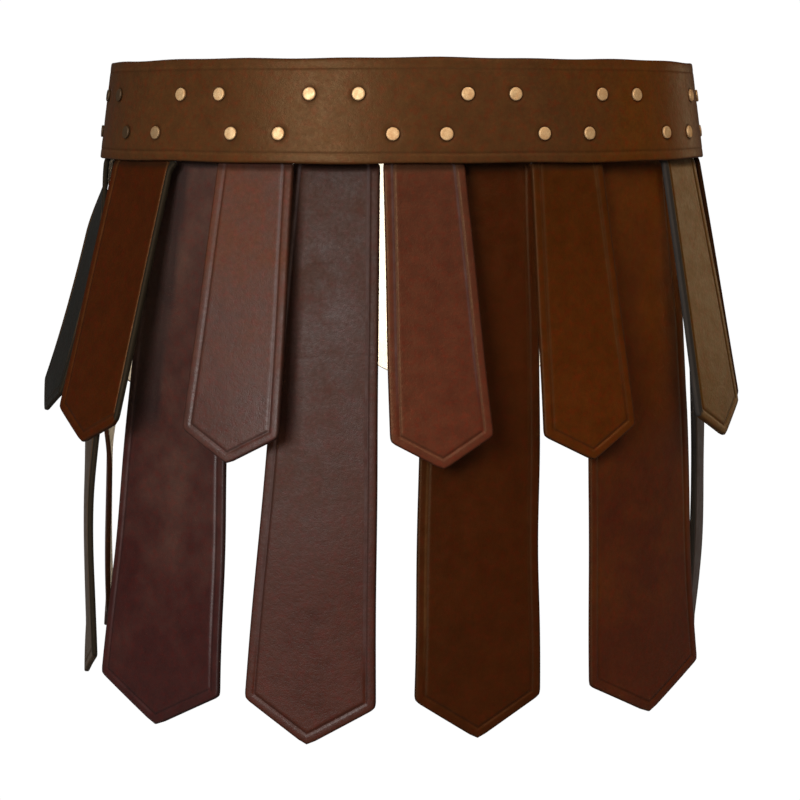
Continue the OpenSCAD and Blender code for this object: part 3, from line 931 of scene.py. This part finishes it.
    def points(self):
        """Points of the front and then of the back: the blade is cupped back and waves slowly."""
        centre = self.centre_surface()
        normal = np.cross(np.gradient(centre, axis=0), np.gradient(centre, axis=1))
        normal /= np.linalg.norm(normal, axis=-1, keepdims=True)
        cup = self.looks["cup"] * ramp(self.down, *CUPPED) * (self.x / self.half_low) ** 2
        slow = self.looks["wave"] * ramp(self.down, *self.looks["waves"])
        sway = slow * np.sin(self.down / WAVE_LENGTH + WAVE_SHIFT * self.k)
        sway = sway * (1 + WAVE_SLANT * self.x / self.half_low)
        bow = sway - cup - FULL_CURL * self.fuller
        tooled = crease(self.d_edge) * ramp(self.down, *TOOLED)
        front = STRIP_T / 2 - edge_drop(self.d_rim, *FRONT_EDGE) - tooled - self.wrinkle_depth() + bow
        back = -STRIP_T / 2 + edge_drop(self.d_rim, *BACK_EDGE) + bow
        sides = [centre + normal * level[..., None] for level in (front, back)]
        return np.concatenate([side.reshape(-1, 3) for side in sides])

    def painted_shadow(self):
        """Painted shadow on a long strip, right of the short strip that lies on it."""
        neighbour = self.k - 1
        if self.short:
            return np.zeros_like(self.x)
        flare, lean = (math.radians(a) for a in hang(neighbour)[2:4])
        half_top = (SHORT["top_w"] + hang(neighbour)[4]) / 2
        half_low = (SHORT["low_w"] + hang(neighbour)[5]) / 2
        share = np.clip(self.v / SHORT["length"], 0, 1)
        apart = math.sin(flare) * math.sin(PITCH / FRONT_R) + math.sin(self.lean - lean)
        neighbour_side = blade_s(neighbour) - blade_s(self.k) + half_top + (half_low - half_top) * share
        reach = self.x - neighbour_side + self.v * apart - SHADOW_EXTRA_REACH.get(self.k, 0) * (0.4 + 0.6 * share)
        strength = SHADOW_DARK if self.k in SHADOW_EXTRA_REACH else USUAL_SHADOW_DARK
        return strength * ramp(reach, *SHADOW_ACROSS) * ramp(self.v - SHORT["length"], *SHADOW_DOWN)

    def layers(self):
        """Named values of the points for the material: front first, then back."""
        on_point = self.d_point < self.d_side
        lit_side = np.where(on_point, -1, np.sign(self.x))
        # Painted shade in the wrinkles
        wrinkles = WRINKLE_SHADE * self.wrinkle_depth()
        shade_and_burnish = np.clip(crease_shade_and_burnish(self.d_edge, lit_side) + wrinkles, 0, 1)
        # Painted shadow under the band's lower edge
        shade_and_burnish = np.maximum(shade_and_burnish, BAND_SHADOW_DARK * ramp(self.down, *BAND_SHADOW_REACH))
        # Painted shadow beside the short strip that lies on a long one
        shade_and_burnish = np.maximum(shade_and_burnish, self.painted_shadow())
        # Painted highlight, with some wear, on one wall of each tooled line
        on_sides = self.by_side(HIGHLIGHT_SHARE, 1.0) * ramp(self.v - self.length, *SIDES_HIGHLIGHT)
        wear_and_highlight = crease_highlight_and_wear(self.d_edge, lit_side) * np.where(on_point, POINT_HIGHLIGHT, on_sides)
        # Painted shade in slate on the margins listed above
        shaded_side = np.isin(np.sign(self.x), SHADED_MARGIN_SIDES.get(self.k, ())) * (self.d_side <= self.d_point + 1)
        margin_shade_mask = shaded_side * ramp(self.d_edge, CREASE_IN - 0.3, -0.8)
        along = np.clip(self.down / (self.length + self.point), 0, 1)
        return {
            "shade_and_burnish": np.concatenate([(shade_and_burnish * (1 - 0.8 * margin_shade_mask)).ravel(), np.full(shade_and_burnish.size, BACK_DARK)]),
            "margin_shade_mask": np.tile(margin_shade_mask.ravel(), 2),
            "wear_and_highlight": np.tile(wear_and_highlight.ravel(), 2),
            "along": np.tile(along.ravel(), 2),
        }

    def dye(self):
        """Material of the grain side."""
        # Painted shade in slate on some margins, deeper on the left
        margin_shade_colour = None
        if self.k in SHADED_MARGIN_SIDES:
            margin_shade_colour = SHADE_SLATE if self.k > 0 else DEEP_SHADE_SLATE
        return dyed_leather(
            f"{self.body}_dye", self.top_tone, self.low_tone, 40 + self.k,
            margin_shade_colour=margin_shade_colour,
            gloss=COOL_GLOSS if self.k in COOL_PLACES else WARM_GLOSS,
            wear_highlight_colour=COOL_WEAR_HIGHLIGHT if self.k in COOL_HIGHLIGHT_PLACES else WARM_WEAR_HIGHLIGHT,
            shine=SHINE.get(self.k, USUAL_SHINE),
            matt_top=MATT_TOP.get(self.k, 0.0),
        )

    def make(self):
        """The strip's piece, in place of its CAD nodes."""
        faces, slots = shell_faces(*self.x.shape)
        uv = np.tile(np.stack([self.across.ravel() * MM, self.down.ravel() * MM], -1), (2, 1))
        piece = make_mesh(f"{self.body}_leather", self.points(), faces, uv, self.layers(), slots)
        piece.data.materials.append(self.dye())
        piece.data.materials.append(piece.data.materials[0] if self.k in DARK_BACKS else FLESH)
        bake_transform(piece)
        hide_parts(self.body, self.body.replace("strip_", "strip_top_"))


# Rivets

# Points round a rivet, light dents of its head and the slope of its face
AROUND = 28
DENTS = 6
DENT_SPREAD = 2.8
DENT_SIZE = (0.8, 1.5)
DENT_DEPTH = (0.03, 0.1)
HEAD_SLOPE = 0.025

# Painted shade on the rivets on the left, from the front round to the back, where their heads face the
# dark side
LEFT_SHADE_IN = (-150, -60)
LEFT_SHADE_OUT = (-340, 60)


def rivet_profile():
    """Radius and height of a rivet from its head's middle to its peened end."""
    foot = -(STACK + SEAT + BURR_H + SEAT)
    top = SEAT + HEAD_H
    face = [(0, top + 0.08), (0.9, top + 0.07), (1.7, top + 0.05), (2.4, top + 0.03), (3.1, top)]
    rim = [(3.6, top - 0.06), (3.88, top - 0.22), (4.03, top - 0.5), (HEAD_R + 0.08, top - 0.9)]
    shank = [(3.9, -0.3), (SHANK_R, -0.3), (SHANK_R, foot)]
    peen = [(2.5, foot + 0.02), (2.55, foot - 0.25), (2.2, foot - 0.55), (1.4, foot - 0.72)]
    return np.array(face + rim + shank + peen + [(0, foot - 0.78)])


def plain_rivet(profile):
    """Points of a rivet that stands at the origin: its rings, and the middles of its head and end."""
    turn = np.arange(AROUND) * 2 * math.pi / AROUND
    radius, level = profile[1:-1, :1], np.repeat(profile[1:-1, 1:], AROUND, 1)
    rings = np.stack([radius * np.cos(turn), radius * np.sin(turn), level], -1).reshape(-1, 3)
    return np.concatenate([rings, [[0, 0, profile[0, 1]], [0, 0, profile[-1, 1]]]])


def rivet_faces(rings, start):
    """Faces of a rivet with this many rings, whose points start at index start."""
    here = np.arange(AROUND)
    after = (here + 1) % AROUND
    faces = []
    for ring in range(start, start + (rings - 1) * AROUND, AROUND):
        below = ring + AROUND
        faces += zip(ring + here, below + here, below + after, ring + after)
    last_ring = start + (rings - 1) * AROUND
    head_middle = start + rings * AROUND
    faces += [(head_middle, start + a, start + b) for a, b in zip(here, after)]
    faces += [(head_middle + 1, last_ring + b, last_ring + a) for a, b in zip(here, after)]
    return faces


def worked(local):
    """A copy of a rivet's points with its head dented and a little aslope."""
    local = local.copy()
    on_head = local[:, 2] > SEAT
    for _ in range(DENTS):
        dent = rng.uniform(-DENT_SPREAD, DENT_SPREAD, 2)
        size = rng.uniform(*DENT_SIZE)
        deep = rng.uniform(*DENT_DEPTH)
        distance = np.hypot(local[:, 0] - dent[0], local[:, 1] - dent[1])
        local[:, 2] -= np.where(on_head, deep * bell(distance, size), 0)
    slope = rng.uniform(-HEAD_SLOPE, HEAD_SLOPE, 2)
    local[:, 2] += np.where(on_head, local[:, 0] * slope[0] + local[:, 1] * slope[1], 0)
    return local


def on_band(local, s, z):
    """Points of a rivet at its place on the band, at distance s along it and height z."""
    f = float(facing(s))
    x, y = oval(s, -z * IN_PER_MM)
    tangent = np.array([math.cos(f), math.sin(f), 0])
    out = np.array([math.cos(TILT) * math.sin(f), -math.cos(TILT) * math.cos(f), math.sin(TILT)])
    up = np.array([-math.sin(TILT) * math.sin(f), math.sin(TILT) * math.cos(f), math.cos(TILT)])
    return np.array([x, y, z]) + local[:, :1] * tangent + local[:, 1:2] * up + local[:, 2:] * out


def make_rivets(name, spots, node):
    """One row of rivets as a single piece. Each head is worked flat with a few light dents."""
    profile = rivet_profile()
    plain = plain_rivet(profile)
    points, faces, painted_shade = [], [], []
    for order, (s, z) in enumerate(spots):
        points.append(on_band(worked(plain), s, z))
        faces += rivet_faces(len(profile) - 2, order * len(plain))
        # Painted shade on the rivets on the left
        painted_shade += [ramp(s, *LEFT_SHADE_IN) * ramp(s, *LEFT_SHADE_OUT)] * len(plain)
    piece = make_mesh(name, np.concatenate(points), faces, layers={"painted_shade": painted_shade})
    piece.data.materials.append(COPPER)
    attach(piece, "belt")
    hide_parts(node)


def dress_cad(node, material, bevel=0.0):
    """A CAD node that keeps its shape gets its material, and softer edges where it is leather."""
    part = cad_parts[node]
    part.data.materials.clear()
    part.data.materials.append(material)
    if bevel:
        soften = part.modifiers.new("soft_edges", "BEVEL")
        soften.width = bevel * MM
        soften.segments = 3
        soften.limit_method = "ANGLE"
        soften.angle_limit = math.radians(40)
    part.data.polygons.foreach_set("use_smooth", np.ones(len(part.data.polygons), bool))


make_band()
for place in SHORT_PLACES + LONG_PLACES:
    Strip(place).make()
make_rivets("low_row_rivets", LOW_SPOTS, "short_rivets")
make_rivets("high_row_rivets", HIGH_SPOTS, "long_rivets")
dress_cad("closure_rivets", COPPER)
for burrs in ("short_rivet_burrs", "long_rivet_burrs", "closure_burrs"):
    dress_cad(burrs, COPPER_DULL)
for leather_node in ("closure_strap", "buckle_fold", "strap_keeper"):
    dress_cad(leather_node, STRAP_LEATHER, bevel=0.35)
dress_cad("buckle_frame", BRASS)
dress_cad("buckle_tongue", BRASS)


# Floor, light and camera

# Brightness that the camera sees on the floor and round it
BACKDROP = 1.02


def seen_white(nodes, links, surface, shader):
    """Joins shader to the surface socket, but the camera itself sees an even white there."""
    background = shader.bl_idname == "ShaderNodeBackground"
    white = nodes.new("ShaderNodeBackground" if background else "ShaderNodeEmission")
    white.inputs["Color"].default_value = (1.0, 1.0, 1.0, 1.0)
    white.inputs["Strength"].default_value = BACKDROP
    path = nodes.new("ShaderNodeLightPath")
    mix = nodes.new("ShaderNodeMixShader")
    links.new(path.outputs["Is Camera Ray"], mix.inputs[0])
    links.new(shader.outputs[0], mix.inputs[1])
    links.new(white.outputs[0], mix.inputs[2])
    links.new(mix.outputs[0], surface)


def add_floor():
    """A wide pale floor below the tips, as evenly lit as the photograph's background."""
    reach = 30.0
    low = -0.40
    mesh = bpy.data.meshes.new("floor")
    corners = [(-reach, -reach, low), (reach, -reach, low), (reach, reach, low), (-reach, reach, low)]
    mesh.from_pydata(corners, [], [(0, 1, 2, 3)])
    floor = bpy.data.objects.new("floor", mesh)
    bpy.context.scene.collection.objects.link(floor)
    tree = Tree("floor")
    grey = (0.30, 0.30, 0.30, 1.0)
    mesh.materials.append(tree.finish(Base_Color=grey, Roughness=0.9, Specular_IOR_Level=0.1))
    seen_white(tree.nodes, tree.links, tree.out.inputs["Surface"], tree.shader)


def add_light(name, place, size, power, colour, target=(0.0, 0.0, -0.12), spread=180):
    """A soft rectangular light, size wide and high, aimed at the target and not seen itself."""
    data = bpy.data.lights.new(name, "AREA")
    data.shape = "RECTANGLE"
    data.size, data.size_y = size
    data.energy = power
    data.spread = math.radians(spread)
    data.color = colour
    light = bpy.data.objects.new(name, data)
    light.location = place
    light.visible_camera = False
    aim = np.array(target) - np.array(place)
    tilt = math.atan2(math.hypot(aim[0], aim[1]), -aim[2])
    light.rotation_euler = (tilt, 0, math.atan2(aim[1], aim[0]) - math.pi / 2)
    bpy.context.scene.collection.objects.link(light)


def add_world():
    """Faint even light from all round, behind a white backdrop."""
    world = bpy.data.worlds.new("world")
    world.use_nodes = True
    nodes, links = world.node_tree.nodes, world.node_tree.links
    ambient = nodes["Background"]
    ambient.inputs["Color"].default_value = (1.0, 0.96, 0.92, 1.0)
    ambient.inputs["Strength"].default_value = 0.06
    seen_white(nodes, links, nodes["World Output"].inputs["Surface"], ambient)
    bpy.context.scene.world = world


def add_camera():
    """Stands where the photograph was taken from."""
    data = bpy.data.cameras.new("camera")
    data.sensor_width = 36.0
    data.lens = 75.2
    data.shift_x = -0.0034
    data.clip_start = 0.05
    data.clip_end = 100.0
    camera = bpy.data.objects.new("camera", data)
    camera.location = (-0.0571, -1.1860, 0.0323)
    camera.rotation_euler = (math.radians(80.143), 0, math.radians(-2.759))
    bpy.context.scene.collection.objects.link(camera)
    bpy.context.scene.camera = camera


add_floor()
add_light("key", (-1.1, -2.0, 0.62), (1.0, 0.8), 36, (0.96, 0.97, 0.96))
add_light("fill", (0.9, -1.9, 2.0), (1.5, 1.5), 27, (1.0, 0.84, 0.64))
add_light("side", (1.95, 1.16, 0.12), (0.9, 0.7), 2.2, (1.0, 0.74, 0.42))
add_light("back", (-0.3, 2.3, 1.7), (1.2, 1.0), 24, (0.97, 0.97, 1.0))
add_light("inside", (0.0, -0.06, -0.28), (0.24, 0.10), 0.5, (1.0, 0.97, 0.92), (0.0, 0.17, -0.08), 80)
add_world()
add_camera()
bpy.context.scene.view_settings.view_transform = "Standard"
